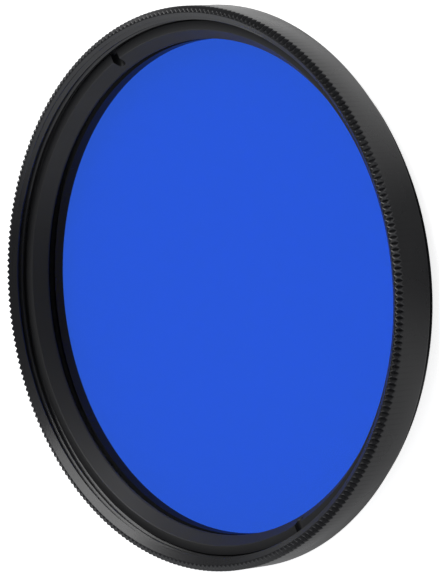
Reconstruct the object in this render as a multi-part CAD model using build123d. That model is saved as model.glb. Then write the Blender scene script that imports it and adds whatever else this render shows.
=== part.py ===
from build123d import *

import math
import os

# Screw-in lens filter: a turned aluminium rim with a knurled nose, a glass disc and a slotted retaining ring.
# It lies on the end of its rear thread, with the optical axis along +Z and the front side up. Millimetres.
# Depths are measured down from the rim's front face, and radial steps from the nominal filter thread.

# Filter thread, female in front and male behind
THREAD_DIAMETER = 55.0
THREAD_PITCH = 0.75

# Front end of the rim
LEAD_IN_MARGIN = 0.3
LEAD_IN_DEPTH = 0.48
FRONT_FACE_WIDTH = 0.24
NOSE_BREAK = 0.46
FRONT_THREAD_DEPTH = 1.6
FRONT_RELIEF_WIDTH = 0.35
FRONT_RELIEF_MARGIN = 0.1

# Rear end of the rim
SEAT_THICKNESS = 1.25
REAR_THREAD_LENGTH = 1.6
REAR_THREAD_ALLOWANCE = 0.05
REAR_RELIEF_WIDTH = 0.35
SHOULDER_CHAMFER_HEIGHT = 0.3
SHOULDER_CHAMFER_WIDTH = 0.15
THREAD_END_CHAMFER = 0.2
BORE_EDGE_CHAMFER = 0.1

# Knurl: V grooves cut at 45 degrees across the nose
KNURL_PITCH = 0.61
KNURL_FACE_LAND = 0.03
KNURL_GROOVE_HALF_ANGLE = 40.0

# Glass disc and its pocket
GLASS_EDGE_STEP = 1.0
GLASS_THICKNESS = 1.6
GLASS_BEVEL = 0.2
GLASS_SIDE_CLEARANCE = 0.1
SEAT_WIDTH = 0.9

# Retaining ring, screwed into its own finer thread below the filter thread
RETAINER_THREAD_STEP = 0.5
RETAINER_THREAD_PITCH = 0.35
RETAINER_SETBACK = 0.05
RETAINER_HEIGHT = 1.5
RETAINER_BEVEL_WIDTH = 0.95
RETAINER_LAND_HEIGHT = 0.12
RETAINER_EDGE_BREAK = 0.1
RETAINER_SIDE_CLEARANCE = 0.05
RETAINER_CLAMP_GAP = 0.2
RETAINER_FLANGE_CLEARANCE = 0.05
SLOT_WIDTH = 1.0
SLOT_FLOOR = 0.6

# How far a cutter reaches past the metal that it cuts
CUT_OVERRUN = 0.3

# Metric thread form: the crest and root diameters lie this many pitches inside the nominal one
MINOR_FACTOR = 1.0825
ROOT_FACTOR = 1.2268

# Radii, from the outside in
THREAD_RADIUS = THREAD_DIAMETER / 2
FACE_INNER_RADIUS = THREAD_RADIUS + LEAD_IN_MARGIN
RIM_RADIUS = FACE_INNER_RADIUS + FRONT_FACE_WIDTH + NOSE_BREAK
KNURL_ROOT_RADIUS = FACE_INNER_RADIUS + KNURL_FACE_LAND
FRONT_THREAD_RADIUS = THREAD_RADIUS - MINOR_FACTOR * THREAD_PITCH / 2
FRONT_RELIEF_RADIUS = THREAD_RADIUS + FRONT_RELIEF_MARGIN
REAR_THREAD_RADIUS = THREAD_RADIUS - REAR_THREAD_ALLOWANCE / 2
REAR_RELIEF_RADIUS = REAR_THREAD_RADIUS - ROOT_FACTOR * THREAD_PITCH / 2
RETAINER_THREAD_RADIUS = THREAD_RADIUS - RETAINER_THREAD_STEP
RETAINER_SOCKET_RADIUS = RETAINER_THREAD_RADIUS - MINOR_FACTOR * RETAINER_THREAD_PITCH / 2
GLASS_RADIUS = RETAINER_THREAD_RADIUS - GLASS_EDGE_STEP
POCKET_RADIUS = GLASS_RADIUS + GLASS_SIDE_CLEARANCE
APERTURE_RADIUS = GLASS_RADIUS - SEAT_WIDTH

# Depths, from the front face down
RETAINER_DEPTH = FRONT_THREAD_DEPTH + RETAINER_SETBACK
GLASS_DEPTH = RETAINER_DEPTH + RETAINER_HEIGHT
SEAT_DEPTH = GLASS_DEPTH + GLASS_THICKNESS
TOTAL_HEIGHT = SEAT_DEPTH + SEAT_THICKNESS


def height(depth):
    """Height above the rear end of a point that lies this far down from the front face."""
    return TOTAL_HEIGHT - depth


def half_section(corners):
    """Face in the XZ plane from (radius, height) corners, to be turned about Z."""
    return Plane.XZ * make_face(Polyline(*corners, close=True))


def make_rim_blank():
    """Rim as it leaves the lathe: section from the front bore round the outside and back up the inside.

    The nose is broken by two chamfers, whose three corners lie on a quarter of a circle.
    """
    nose_inset = NOSE_BREAK * (1 - math.cos(math.pi / 4))
    section = half_section([
        (FACE_INNER_RADIUS, height(0)),
        (RIM_RADIUS - NOSE_BREAK, height(0)),
        (RIM_RADIUS - nose_inset, height(nose_inset)),
        (RIM_RADIUS, height(NOSE_BREAK)),
        (RIM_RADIUS, REAR_THREAD_LENGTH + SHOULDER_CHAMFER_HEIGHT),
        (RIM_RADIUS - SHOULDER_CHAMFER_WIDTH, REAR_THREAD_LENGTH),
        (REAR_RELIEF_RADIUS, REAR_THREAD_LENGTH),
        (REAR_RELIEF_RADIUS, REAR_THREAD_LENGTH - REAR_RELIEF_WIDTH),
        (REAR_THREAD_RADIUS, REAR_THREAD_LENGTH - REAR_RELIEF_WIDTH),
        (REAR_THREAD_RADIUS, THREAD_END_CHAMFER),
        (REAR_THREAD_RADIUS - THREAD_END_CHAMFER, 0),
        (APERTURE_RADIUS + BORE_EDGE_CHAMFER, 0),
        (APERTURE_RADIUS, BORE_EDGE_CHAMFER),
        (APERTURE_RADIUS, height(SEAT_DEPTH)),
        (POCKET_RADIUS, height(SEAT_DEPTH)),
        (POCKET_RADIUS, height(GLASS_DEPTH + RETAINER_CLAMP_GAP)),
        (RETAINER_SOCKET_RADIUS, height(GLASS_DEPTH + RETAINER_CLAMP_GAP)),
        (RETAINER_SOCKET_RADIUS, height(FRONT_THREAD_DEPTH + FRONT_RELIEF_WIDTH)),
        (FRONT_RELIEF_RADIUS, height(FRONT_THREAD_DEPTH + FRONT_RELIEF_WIDTH)),
        (FRONT_RELIEF_RADIUS, height(FRONT_THREAD_DEPTH)),
        (FRONT_THREAD_RADIUS, height(FRONT_THREAD_DEPTH)),
        (FRONT_THREAD_RADIUS, height(LEAD_IN_DEPTH)),
    ])
    return revolve(section, axis=Axis.Z)


def knurl_envelope(lowest_depth):
    """Star-shaped cone frustum that bounds what the knurling leaves standing.

    The groove bottoms lie on a 45 degree cone, so at each depth the star's inner corners are as far out from
    the knurl's root radius as the depth, and its outer corners are where the flanks of two grooves meet.
    """
    teeth = round(2 * math.pi * RIM_RADIUS / KNURL_PITCH)
    half_tooth = math.pi / teeth
    spread = math.tan(math.radians(KNURL_GROOVE_HALF_ANGLE))
    crest_over_root = spread / (spread * math.cos(half_tooth) - math.sin(half_tooth))
    sections = []
    for depth in (-CUT_OVERRUN, lowest_depth):
        root = KNURL_ROOT_RADIUS + depth
        corners = []
        for tooth in range(teeth):
            for radius, turn in ((root, 2 * tooth), (root * crest_over_root, 2 * tooth + 1)):
                angle = turn * half_tooth
                corners.append((radius * math.cos(angle), radius * math.sin(angle), height(depth)))
        sections.append(make_face(Polyline(*corners, close=True)))
    return loft(sections, ruled=True)


def make_rim():
    """One-piece rim: the turned blank less the grooves of the knurl."""
    lowest_depth = RIM_RADIUS - KNURL_ROOT_RADIUS + CUT_OVERRUN
    band = Pos(0, 0, height(lowest_depth)) * Cylinder(
        RIM_RADIUS + CUT_OVERRUN,
        lowest_depth + CUT_OVERRUN,
        align=(Align.CENTER, Align.CENTER, Align.MIN),
    )
    return make_rim_blank() - (band - knurl_envelope(lowest_depth))


def make_retaining_ring():
    """Threaded ring that clamps the glass, bevelled towards it, with two round-bottomed slots for a spanner.

    Its flange passes through the front thread and hangs just clear of the wall's step below that thread.
    """
    outer = RETAINER_SOCKET_RADIUS - RETAINER_SIDE_CLEARANCE
    flange = FRONT_THREAD_RADIUS - RETAINER_FLANGE_CLEARANCE
    top = height(RETAINER_DEPTH)
    flange_bottom = height(FRONT_THREAD_DEPTH + FRONT_RELIEF_WIDTH) + RETAINER_FLANGE_CLEARANCE
    bottom = height(GLASS_DEPTH)
    section = half_section([
        (APERTURE_RADIUS + RETAINER_BEVEL_WIDTH, top),
        (flange - RETAINER_EDGE_BREAK, top),
        (flange, top - RETAINER_EDGE_BREAK),
        (flange, flange_bottom),
        (outer, flange_bottom),
        (outer, bottom),
        (APERTURE_RADIUS, bottom),
        (APERTURE_RADIUS, bottom + RETAINER_LAND_HEIGHT),
    ])
    slot_axis = Pos(0, 0, bottom + SLOT_FLOOR + SLOT_WIDTH / 2)
    slot_bottoms = slot_axis * Rot(90, 0, 0) * Cylinder(SLOT_WIDTH / 2, 2 * RIM_RADIUS)
    slot_sides = slot_axis * Box(
        SLOT_WIDTH,
        2 * RIM_RADIUS,
        RETAINER_HEIGHT,
        align=(Align.CENTER, Align.CENTER, Align.MIN),
    )
    return revolve(section, axis=Axis.Z) - slot_bottoms - slot_sides


def make_glass_disc():
    """Flat disc of dyed glass, bevelled round both faces, lying on the rim's seat."""
    disc = Pos(0, 0, height(SEAT_DEPTH)) * Cylinder(
        GLASS_RADIUS, GLASS_THICKNESS, align=(Align.CENTER, Align.CENTER, Align.MIN)
    )
    return chamfer(disc.edges().filter_by(GeomType.CIRCLE), GLASS_BEVEL)


os.makedirs("parts", exist_ok=True)
export_step(make_rim(), "parts/rim.step")
export_step(make_retaining_ring(), "parts/retaining_ring.step")
export_step(make_glass_disc(), "parts/glass_disc.step")
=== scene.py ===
import math

import bpy
import numpy as np
from mathutils import Matrix, Vector


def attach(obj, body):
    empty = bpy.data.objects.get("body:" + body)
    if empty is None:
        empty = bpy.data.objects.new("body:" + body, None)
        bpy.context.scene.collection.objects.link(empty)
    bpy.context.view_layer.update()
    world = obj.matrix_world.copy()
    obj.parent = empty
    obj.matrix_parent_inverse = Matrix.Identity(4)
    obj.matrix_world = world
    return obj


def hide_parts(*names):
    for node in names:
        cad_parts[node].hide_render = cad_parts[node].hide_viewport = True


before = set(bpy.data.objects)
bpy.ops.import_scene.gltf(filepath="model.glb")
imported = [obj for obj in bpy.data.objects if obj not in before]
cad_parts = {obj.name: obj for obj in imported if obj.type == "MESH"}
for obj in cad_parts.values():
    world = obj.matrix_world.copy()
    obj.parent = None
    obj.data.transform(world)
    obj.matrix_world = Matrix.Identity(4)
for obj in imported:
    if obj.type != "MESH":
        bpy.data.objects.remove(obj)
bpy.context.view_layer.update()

# Screw-in lens filter, lying on the end of its rear thread, with the optical axis along +Z.
# Sizes are in millimetres: radii from the axis, depths from the front face, heights from the rear end.

MM = 0.001
TOTAL_HEIGHT = 6.0

# Rim: outside, shoulder, and the steps of its inner wall with the heights that they start or end at
RIM_RADIUS = 28.5
SHOULDER_RADIUS = 28.35
SHOULDER_HEIGHT = 1.6
BAND_BOTTOM = 1.9
FACE_INNER_RADIUS = 27.8
LEAD_IN_BOTTOM = 5.52
SOCKET_RADIUS = 26.8106
SOCKET_TOP = 4.05
POCKET_RADIUS = 26.1
POCKET_TOP = 2.65
SEAT_HEIGHT = 1.25
APERTURE_RADIUS = 25.1
BORE_EDGE_CHAMFER = 0.1
THREAD_END_CHAMFER = 0.2
REAR_RELIEF_RADIUS = 27.015
REAR_THREAD_TOP = 1.25

# Glass disc, on the seat
GLASS_RADIUS = 26.0
GLASS_TOP = 2.85
GLASS_BEVEL = 0.2

# Retaining ring, on the glass
RETAINER_RADIUS = 26.7606
RETAINER_TOP = 4.35
FLANGE_RADIUS = 27.0441
FLANGE_BOTTOM = 4.1
FLANGE_EDGE_BREAK = 0.1
BEVEL_TOP_RADIUS = 26.0
BEVEL_TOP = 4.277
BEVEL_BOTTOM = 2.97
BEVEL_RUN = 0.95 / 1.38
BEVEL_ROUNDING_TOP = 4.2
BEVEL_ROUNDING_BOTTOM = 3.05
SLOT_WIDTH = 1.0
SLOT_FLOOR = 3.45

# Filter thread: 60 degree V grooves, female in front and male behind, right-hand
THREAD_PITCH = 0.75
FRONT_THREAD_CREST = 27.0941
FRONT_THREAD_ROOT = 27.5
REAR_THREAD_CREST = 27.475
REAR_THREAD_ROOT = 27.03
FLANK_SLOPE = math.tan(math.radians(60))
ROOT_FLAT = THREAD_PITCH / 8
FRONT_GROOVE_DEPTH = 1.236
REAR_GROOVE_DEPTH = 5.2

# Knurl: V grooves cut at 45 degrees across the nose
TEETH = 294
COLUMNS_PER_TOOTH = 8
KNURL_ROOT_RADIUS = 27.83
KNURL_GROOVE_HALF_ANGLE = 40.0
NOSE_BREAK = 0.46
KNURL_END_DEPTH = 0.7

# The rest of the rim has one column of faces for every four of the nose
COLUMN_RATIO = 4

# Rows of faces down each wall
FACE_ROWS = 3
NOSE_ROWS = 8
BAND_ROWS = 4
REAR_THREAD_ROWS = 24
FRONT_THREAD_ROWS = 45
LEAD_IN_ROWS = 15
BEVEL_ROWS = 24


def height(depth):
    """Height above the rear end of a point that lies this far down from the front face."""
    return TOTAL_HEIGHT - depth


def angles_round(columns):
    """Angles of evenly spaced columns about the axis, starting on +X."""
    return np.arange(columns) * (2 * math.pi / columns)


def ring_points(radius, level, angle):
    """Points at (radius cos angle, radius sin angle, level), for arrays that broadcast together."""
    radius, level, angle = np.broadcast_arrays(radius, level, angle)
    return np.stack([radius * np.cos(angle), radius * np.sin(angle), level], axis=-1)


def grid_faces(rows, columns, first=0, close_rows=False):
    """Quads between neighbouring rows of a grid whose columns close round the axis.

    Vertex (row, column) has the number first + row * columns + column.
    """
    row = np.arange(rows if close_rows else rows - 1)[:, None]
    column = np.arange(columns)[None, :]
    after = (column + 1) % columns
    below = (row + 1) % rows
    quads = [row * columns + column, below * columns + column, below * columns + after, row * columns + after]
    return first + np.stack(quads, axis=-1).reshape(-1, 4)


def stitch_faces(fine_first, coarse_first, coarse_count, ratio):
    """Triangles between a fine ring of vertices and a coarse one that has one vertex for every few of them.

    In each coarse step the fine edges fan to its first vertex up to halfway and to its second one after that.
    """
    step = np.arange(coarse_count)
    here = coarse_first + step
    there = coarse_first + (step + 1) % coarse_count
    half = ratio // 2
    faces = []
    for part in range(ratio):
        fan = here if part < half else there
        start = fine_first + step * ratio + part
        end = fine_first + (step * ratio + part + 1) % (coarse_count * ratio)
        faces.append(np.stack([start, fan, end], axis=-1))
    middle = fine_first + step * ratio + half
    faces.append(np.stack([middle, here, there], axis=-1))
    return np.concatenate(faces)


def make_piece(name, node, points, faces, material, sharp_degrees=35.0):
    """Mesh object from points in millimetres and lists of face arrays, which stands for one of the solids."""
    mesh = bpy.data.meshes.new(name)
    rows = [face for array in faces for face in array.tolist()]
    mesh.from_pydata((points.reshape(-1, 3) * MM).tolist(), [], rows)
    mesh.validate()
    mesh.shade_smooth()
    mesh.set_sharp_from_angle(angle=math.radians(sharp_degrees))
    mesh.materials.append(material)
    piece = bpy.data.objects.new(name, mesh)
    bpy.context.scene.collection.objects.link(piece)
    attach(piece, "root")
    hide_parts(node)
    return piece


def along(start, end, steps):
    """Evenly spaced values from start up to but not with end."""
    return np.linspace(start, end, steps, endpoint=False)


def groove_distance(level, angle, groove_depth):
    """Axial distance from the nearest turn of a right-hand helical groove that has this depth on +X."""
    climb = THREAD_PITCH * angle / (2 * math.pi)
    offset = level - height(groove_depth) - climb
    return np.abs((offset + THREAD_PITCH / 2) % THREAD_PITCH - THREAD_PITCH / 2)


def thread_step(level, angle, groove_depth):
    """How far a V groove's flank stands off its root: nothing on the root flat, then the 60 degree slope."""
    distance = groove_distance(level, angle, groove_depth)
    return FLANK_SLOPE * np.maximum(distance - ROOT_FLAT / 2, 0)


def make_rim(material):
    """One-piece rim as a closed surface: the knurled nose, then the section from the band to the lead-in.

    Nose: a profile point (r, d) slides in and down at 45 degrees until it is on the flank of its V groove.
    With k for the flank's radius over the groove bottom's at that angle, and the bottom at
    KNURL_ROOT_RADIUS + depth, the slide is (r - k (root + d)) / (1 + k), or nothing where the flank lies
    outside the profile.
    Threads: the front wall's radius is the larger of its section's and the groove's, the rear one's the
    smaller.
    """
    columns = TEETH * COLUMNS_PER_TOOTH
    turn = math.pi / 2 * np.arange(NOSE_ROWS + 1) / NOSE_ROWS
    nose_radius = np.concatenate([
        along(FACE_INNER_RADIUS, RIM_RADIUS - NOSE_BREAK, FACE_ROWS),
        RIM_RADIUS - NOSE_BREAK + NOSE_BREAK * np.sin(turn),
        np.full(BAND_ROWS, RIM_RADIUS),
    ])[:, None]
    nose_depth = np.concatenate([
        np.zeros(FACE_ROWS),
        NOSE_BREAK - NOSE_BREAK * np.cos(turn),
        NOSE_BREAK + (KNURL_END_DEPTH - NOSE_BREAK) * np.arange(1, BAND_ROWS + 1) / BAND_ROWS,
    ])[:, None]
    angle = angles_round(columns)[None, :]
    tooth = 2 * math.pi / TEETH
    from_bottom = np.abs((angle + tooth / 2) % tooth - tooth / 2)
    spread = math.tan(math.radians(KNURL_GROOVE_HALF_ANGLE))
    flank = spread / (spread * np.cos(from_bottom) - np.sin(from_bottom))
    slide = np.maximum(0, (nose_radius - flank * (KNURL_ROOT_RADIUS + nose_depth)) / (1 + flank))
    nose = ring_points(nose_radius - slide, height(nose_depth + slide), angle)

    rear_end_radius = REAR_THREAD_CREST - THREAD_END_CHAMFER
    lead_in_slope = (FACE_INNER_RADIUS - FRONT_THREAD_CREST) / (TOTAL_HEIGHT - LEAD_IN_BOTTOM)
    section = [
        (RIM_RADIUS, BAND_BOTTOM),
        (SHOULDER_RADIUS, SHOULDER_HEIGHT),
        (REAR_RELIEF_RADIUS, SHOULDER_HEIGHT),
        (REAR_RELIEF_RADIUS, REAR_THREAD_TOP),
        *[(REAR_THREAD_CREST, z) for z in along(REAR_THREAD_TOP, THREAD_END_CHAMFER, REAR_THREAD_ROWS)],
        *[(rear_end_radius + z, z) for z in along(THREAD_END_CHAMFER, 0.0, 4)],
        (rear_end_radius, 0.0),
        (APERTURE_RADIUS + BORE_EDGE_CHAMFER, 0.0),
        (APERTURE_RADIUS, BORE_EDGE_CHAMFER),
        (APERTURE_RADIUS, SEAT_HEIGHT),
        (POCKET_RADIUS, SEAT_HEIGHT),
        (POCKET_RADIUS, POCKET_TOP),
        (SOCKET_RADIUS, POCKET_TOP),
        (SOCKET_RADIUS, SOCKET_TOP),
        *[(FRONT_THREAD_CREST, z) for z in along(SOCKET_TOP, LEAD_IN_BOTTOM, FRONT_THREAD_ROWS)],
        *[(FRONT_THREAD_CREST + (z - LEAD_IN_BOTTOM) * lead_in_slope, z)
          for z in along(LEAD_IN_BOTTOM, TOTAL_HEIGHT, LEAD_IN_ROWS)],
    ]
    radius, level = (np.array(values)[:, None] for values in zip(*section))
    coarse = columns // COLUMN_RATIO
    angle = angles_round(coarse)[None, :]
    front = FRONT_THREAD_ROOT - thread_step(level, angle, FRONT_GROOVE_DEPTH)
    rear = REAR_THREAD_ROOT + thread_step(level, angle, REAR_GROOVE_DEPTH)
    on_front = (level >= SOCKET_TOP) & (radius > SOCKET_RADIUS)
    on_rear = (level <= REAR_THREAD_TOP) & (radius > REAR_RELIEF_RADIUS)
    wall = np.where(on_front, np.maximum(radius, front), np.where(on_rear, np.minimum(radius, rear), radius))
    body = ring_points(wall, level, angle)

    first = nose.shape[0] * columns
    last = first + (body.shape[0] - 1) * coarse
    end_of_nose = (nose.shape[0] - 1) * columns
    faces = [
        grid_faces(nose.shape[0], columns),
        stitch_faces(end_of_nose, first, coarse, COLUMN_RATIO),
        grid_faces(body.shape[0], coarse, first),
        stitch_faces(0, last, coarse, COLUMN_RATIO)[:, ::-1],
    ]
    points = np.concatenate([nose.reshape(-1, 3), body.reshape(-1, 3)])
    return make_piece("turned_rim", "rim", points, faces, material)


def make_retaining_ring(material):
    """Ring turned from its section, with two round-bottomed slots.

    Columns outside the slots share out the angle between one slot's side and the next. Those inside lie at a
    fixed distance x = w sin(t) from the slot's middle, for evenly spaced t, and their heights are cut off at
    the slot's round bottom, floor + w (1 - cos(t)), where w is half its width.
    """
    half_slot = SLOT_WIDTH / 2
    bevel_heights = along(BEVEL_ROUNDING_TOP, BEVEL_ROUNDING_BOTTOM, BEVEL_ROWS)
    section = np.array([
        (RETAINER_RADIUS, GLASS_TOP),
        (RETAINER_RADIUS, FLANGE_BOTTOM),
        (FLANGE_RADIUS, FLANGE_BOTTOM),
        (FLANGE_RADIUS, RETAINER_TOP - FLANGE_EDGE_BREAK),
        (FLANGE_RADIUS - FLANGE_EDGE_BREAK, RETAINER_TOP),
        (BEVEL_TOP_RADIUS + 0.08, RETAINER_TOP),
        (BEVEL_TOP_RADIUS + 0.03, RETAINER_TOP - 0.03),
        (BEVEL_TOP_RADIUS, BEVEL_TOP),
        *[(APERTURE_RADIUS + (z - BEVEL_BOTTOM) * BEVEL_RUN, z) for z in bevel_heights],
        (APERTURE_RADIUS + 0.055, BEVEL_ROUNDING_BOTTOM),
        (APERTURE_RADIUS + 0.01, BEVEL_BOTTOM),
        (APERTURE_RADIUS, BEVEL_BOTTOM - 0.04),
        (APERTURE_RADIUS, GLASS_TOP),
    ])
    radius, level = section[:, :1], section[:, 1:]
    side = np.arcsin(half_slot / radius)
    arcs = np.linspace(0, 1, 181)[None, :]
    swing = np.linspace(-math.pi / 2, math.pi / 2, 17)[None, :]
    bottom = SLOT_FLOOR + half_slot * (1 - np.cos(swing))
    turns, levels = [], []
    for quarter in (1, 3):
        middle = quarter * math.pi / 2
        turns.append(middle + np.arcsin(half_slot * np.sin(swing) / radius))
        levels.append(np.minimum(level, bottom))
        turns.append(middle + side + arcs * (math.pi - 2 * side))
        levels.append(level + 0 * arcs)
    points = ring_points(radius, np.concatenate(levels, axis=1), np.concatenate(turns, axis=1))
    faces = [grid_faces(points.shape[0], points.shape[1], close_rows=True)[:, ::-1]]
    return make_piece("clamping_ring", "retaining_ring", points, faces, material)


def make_glass(material):
    """Disc turned from its section, with a vertex at the middle of each face."""
    columns = 360
    section = np.array([
        (GLASS_RADIUS - GLASS_BEVEL, GLASS_TOP),
        (GLASS_RADIUS, GLASS_TOP - GLASS_BEVEL),
        (GLASS_RADIUS, SEAT_HEIGHT + GLASS_BEVEL),
        (GLASS_RADIUS - GLASS_BEVEL, SEAT_HEIGHT),
    ])
    wall = ring_points(section[:, :1], section[:, 1:], angles_round(columns)[None, :])
    points = np.concatenate([wall.reshape(-1, 3), [(0, 0, GLASS_TOP), (0, 0, SEAT_HEIGHT)]])
    column = np.arange(columns)
    after = (column + 1) % columns
    top = np.stack([column, after, np.full(columns, 4 * columns)], axis=-1)
    bottom = np.stack([3 * columns + after, 3 * columns + column, np.full(columns, 4 * columns + 1)], axis=-1)
    faces = [grid_faces(len(section), columns), top, bottom]
    return make_piece("blue_glass_disc", "glass_disc", points, faces, material)


# Dim strip painted on the table that only gloss sees, a painted reflection of a dim room; it is upright in
# the picture. Metres.
STRIP_ACROSS = (0.3827, 0.9239, 0.0)
STRIP_MIDDLE = 0.003
STRIP_HALF_WIDTH = 0.003
STRIP_EDGE = 0.017


def linear(hex_colour):
    """Linear red, green and blue of an sRGB hex colour, and alpha 1."""
    values = [int(hex_colour[i:i + 2], 16) / 255 for i in (1, 3, 5)]
    return (*(v / 12.92 if v <= 0.04045 else ((v + 0.055) / 1.055) ** 2.4 for v in values), 1.0)


def add(tree, kind, sockets=None, **settings):
    """Adds a node, sets its settings by name, and gives each socket a value or the output that feeds it."""
    node = tree.nodes.new("ShaderNode" + kind)
    for name, value in settings.items():
        setattr(node, name, value)
    for key, value in (sockets or {}).items():
        if isinstance(value, bpy.types.NodeSocket):
            tree.links.new(value, node.inputs[key])
        else:
            node.inputs[key].default_value = value
    return node


def new_material(name):
    """Empty node material and its output node."""
    material = bpy.data.materials.new(name)
    material.use_nodes = True
    material.node_tree.nodes.clear()
    return material, add(material.node_tree, "OutputMaterial")


def black_anodised_aluminium(name, colour, roughness):
    """Aluminium turned on a lathe, blasted lightly and anodised black.

    The dyed oxide skin hides the metal, so it is a dark satin dielectric that brightens at grazing angles.
    Turning leaves rings too fine to show, so they are drawn 0.2 mm apart and faint.
    """
    material, output = new_material(name)
    tree = material.node_tree
    place = add(tree, "TexCoord").outputs["Object"]
    parts = add(tree, "SeparateXYZ", {0: place})
    flat = add(tree, "CombineXYZ", {0: parts.outputs[0], 1: parts.outputs[1]})
    reach = add(tree, "VectorMath", {0: flat.outputs[0]}, operation="LENGTH")
    lathe = add(tree, "CombineXYZ", {0: reach.outputs["Value"], 1: parts.outputs[2]})
    rings = add(tree, "TexNoise", {"Vector": lathe.outputs[0], "Scale": 5000.0, "Detail": 2.0})
    grain = add(tree, "TexNoise", {"Vector": place, "Scale": 9000.0, "Detail": 1.0})
    cloud = add(tree, "TexNoise", {"Vector": place, "Scale": 150.0, "Detail": 3.0})
    sheen = add(tree, "MapRange", {
        "Value": cloud.outputs[0], "From Min": 0.3, "From Max": 0.7,
        "To Min": roughness - 0.03, "To Max": roughness + 0.03,
    })
    relief = add(tree, "Math", {0: rings.outputs[0], 1: grain.outputs[0]}, operation="ADD")
    bump = add(tree, "Bump", {"Height": relief.outputs[0], "Strength": 0.15, "Distance": 0.00002})
    shader = add(tree, "BsdfPrincipled", {
        "Base Color": linear(colour), "Roughness": sheen.outputs[0], "Normal": bump.outputs[0],
    })
    tree.links.new(shader.outputs[0], output.inputs["Surface"])
    return material


def blue_dyed_glass():
    """Crown glass dyed blue in the mass, ground flat and polished: clear, with a faint mirror of the room."""
    material, output = new_material("blue_dyed_glass")
    shader = add(material.node_tree, "BsdfPrincipled", {
        "Base Color": linear("#275bd5"), "Roughness": 0.0, "IOR": 1.52, "Transmission Weight": 1.0,
    })
    material.node_tree.links.new(shader.outputs[0], output.inputs["Surface"])
    return material


def white_table():
    """Matt white table that keeps the filter's shadow. Glass sees it white. Gloss sees painted reflections on
    it: a painted grey tone, a painted dim strip, and painted shade darker on one side.
    """
    material, output = new_material("white_table")
    tree = material.node_tree
    rays = add(tree, "LightPath")
    place = add(tree, "TexCoord").outputs["Object"]
    across = add(tree, "VectorMath", {0: place, 1: STRIP_ACROSS}, operation="DOT_PRODUCT")
    off_middle = add(tree, "Math", {0: across.outputs["Value"], 1: STRIP_MIDDLE}, operation="SUBTRACT")
    side = add(tree, "Math", {0: off_middle.outputs[0]}, operation="ABSOLUTE")
    # Painted dim strip: no glow for gloss in the middle, rising to full glow at STRIP_EDGE.
    rise = add(tree, "MapRange", {
        "Value": side.outputs[0], "From Min": STRIP_HALF_WIDTH, "From Max": STRIP_EDGE,
    }, interpolation_type="SMOOTHSTEP")
    # Painted shade seen only by gloss: the glow is darker towards the negative side of STRIP_ACROSS.
    level = add(tree, "MapRange", {
        "Value": across.outputs["Value"], "From Min": -0.02, "From Max": 0.02, "To Min": 0.3, "To Max": 0.6,
    })
    painted_gloss_shade = add(tree, "Math", {0: rise.outputs[0], 1: level.outputs[0]}, operation="MULTIPLY")
    gloss = add(tree, "Math", {
        0: rays.outputs["Is Glossy Ray"], 1: rays.outputs["Is Transmission Ray"],
    }, operation="SUBTRACT", use_clamp=True)
    # Painted reflection: glow that only glossy rays see, shaped by the painted strip and the painted shade.
    painted_reflection_glow = add(tree, "Math", {0: gloss.outputs[0], 1: painted_gloss_shade.outputs[0]}, operation="MULTIPLY")
    to_glass = add(tree, "Math", {
        0: rays.outputs["Is Transmission Ray"], 1: 0.9, 2: painted_reflection_glow.outputs[0],
    }, operation="MULTIPLY_ADD")
    glow = add(tree, "Math", {
        0: rays.outputs["Is Camera Ray"], 1: 0.8, 2: to_glass.outputs[0],
    }, operation="MULTIPLY_ADD")
    # Painted grey: gloss sees the table's matt tone as #a4a4a4 instead of #f0f0f0.
    painted_gloss_grey_tone = add(tree, "Mix", {
        "Factor": gloss.outputs[0], 6: linear("#f0f0f0"), 7: linear("#a4a4a4"),
    }, data_type="RGBA")
    matt = add(tree, "BsdfDiffuse", {"Color": painted_gloss_grey_tone.outputs[2]})
    light = add(tree, "Emission", {"Color": linear("#ffffff"), "Strength": glow.outputs[0]})
    both = add(tree, "AddShader", {0: matt.outputs[0], 1: light.outputs[0]})
    tree.links.new(both.outputs[0], output.inputs["Surface"])
    return material


def make_floor(material):
    """White table top under the rear thread."""
    half = 2.0
    mesh = bpy.data.meshes.new("table_top")
    corners = [(-half, -half, 0), (half, -half, 0), (half, half, 0), (-half, half, 0)]
    mesh.from_pydata(corners, [], [(0, 1, 2, 3)])
    mesh.materials.append(material)
    floor = bpy.data.objects.new("table_top", mesh)
    bpy.context.scene.collection.objects.link(floor)


def place_camera():
    """Long lens about 0.47 m from the filter, 44 degrees above the table, its roll turns the axis left."""
    azimuth, elevation, roll = (math.radians(v) for v in (67.5, 44.08, -95.35))
    aim = Vector((1.64, -0.83, 4.11)) * MM
    distance = 467.1 * MM
    sideways = Vector((math.cos(azimuth), math.sin(azimuth), 0))
    back = Vector((
        math.sin(azimuth) * math.cos(elevation),
        -math.cos(azimuth) * math.cos(elevation),
        math.sin(elevation),
    ))
    upright = back.cross(sideways)
    right = sideways * math.cos(roll) + upright * math.sin(roll)
    up = back.cross(right)
    camera = bpy.data.objects.new("camera", bpy.data.cameras.new("camera"))
    camera.data.lens = 290.09
    camera.data.sensor_width = 36.0
    camera.data.clip_start, camera.data.clip_end = 0.01, 10.0
    bpy.context.scene.collection.objects.link(camera)
    turn = Matrix((right, up, back)).transposed()
    camera.matrix_world = Matrix.Translation(aim + back * distance) @ turn.to_4x4()
    bpy.context.scene.camera = camera


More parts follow.
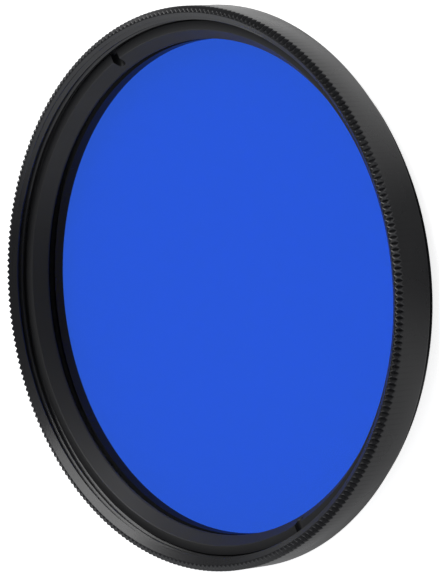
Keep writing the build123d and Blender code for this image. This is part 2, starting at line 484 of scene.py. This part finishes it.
def place_softbox(name, direction, along_width, distance, width, depth, power):
    """Rectangular softbox in this direction from the filter, facing it, with its width turned this way."""
    data = bpy.data.lights.new(name, "AREA")
    data.shape = "RECTANGLE"
    data.size, data.size_y = width, depth
    data.energy = power
    lamp = bpy.data.objects.new(name, data)
    bpy.context.scene.collection.objects.link(lamp)
    back = Vector(direction).normalized()
    up = back.cross(Vector(along_width)).normalized()
    turn = Matrix((up.cross(back), up, back)).transposed()
    lamp.matrix_world = Matrix.Translation(back * distance) @ turn.to_4x4()


def light_world():
    """Pale wall on the picture's lower side, a dim room over and behind the camera, and a pale low band."""
    world = bpy.data.worlds.new("studio")
    bpy.context.scene.world = world
    world.use_nodes = True
    tree = world.node_tree
    tree.nodes.clear()
    way = add(tree, "TexCoord").outputs["Generated"]
    towards = add(tree, "VectorMath", {0: way, 1: (-0.67, -0.95, 0.0)}, operation="DOT_PRODUCT")
    level = add(tree, "MapRange", {
        "Value": towards.outputs["Value"], "From Min": 0.3, "From Max": 0.7, "To Min": 0.12, "To Max": 1.1,
    }, interpolation_type="SMOOTHSTEP")
    rise = add(tree, "SeparateXYZ", {0: way}).outputs[2]
    low = add(tree, "MapRange", {
        "Value": rise, "From Min": 0.1, "From Max": 0.25, "To Min": 0.7, "To Max": 0.0,
    }, interpolation_type="SMOOTHSTEP")
    brighter = add(tree, "Math", {0: level.outputs[0], 1: low.outputs[0]}, operation="MAXIMUM")
    surround = add(tree, "Background", {"Color": linear("#f4f6fa"), "Strength": brighter.outputs[0]})
    add(tree, "OutputWorld", {"Surface": surround.outputs[0]})


bpy.context.scene.view_settings.view_transform = "Standard"
rim_finish = black_anodised_aluminium("black_anodised_aluminium_satin", "#1e1e20", 0.28)
ring_finish = black_anodised_aluminium("black_anodised_aluminium_matt", "#1a1a1c", 0.5)
make_rim(rim_finish)
make_retaining_ring(ring_finish)
make_glass(blue_dyed_glass())
make_floor(white_table())
place_camera()
light_world()
place_softbox("key_softbox", (0.19, 0.7, 0.66), (0.414, -0.427, 0.296), 0.6, 0.4, 0.48, 2.6)
place_softbox("side_panel", (0.47, 0.86, 0.18), (0.86, -0.47, 0.0), 0.6, 0.16, 0.16, 0.12)
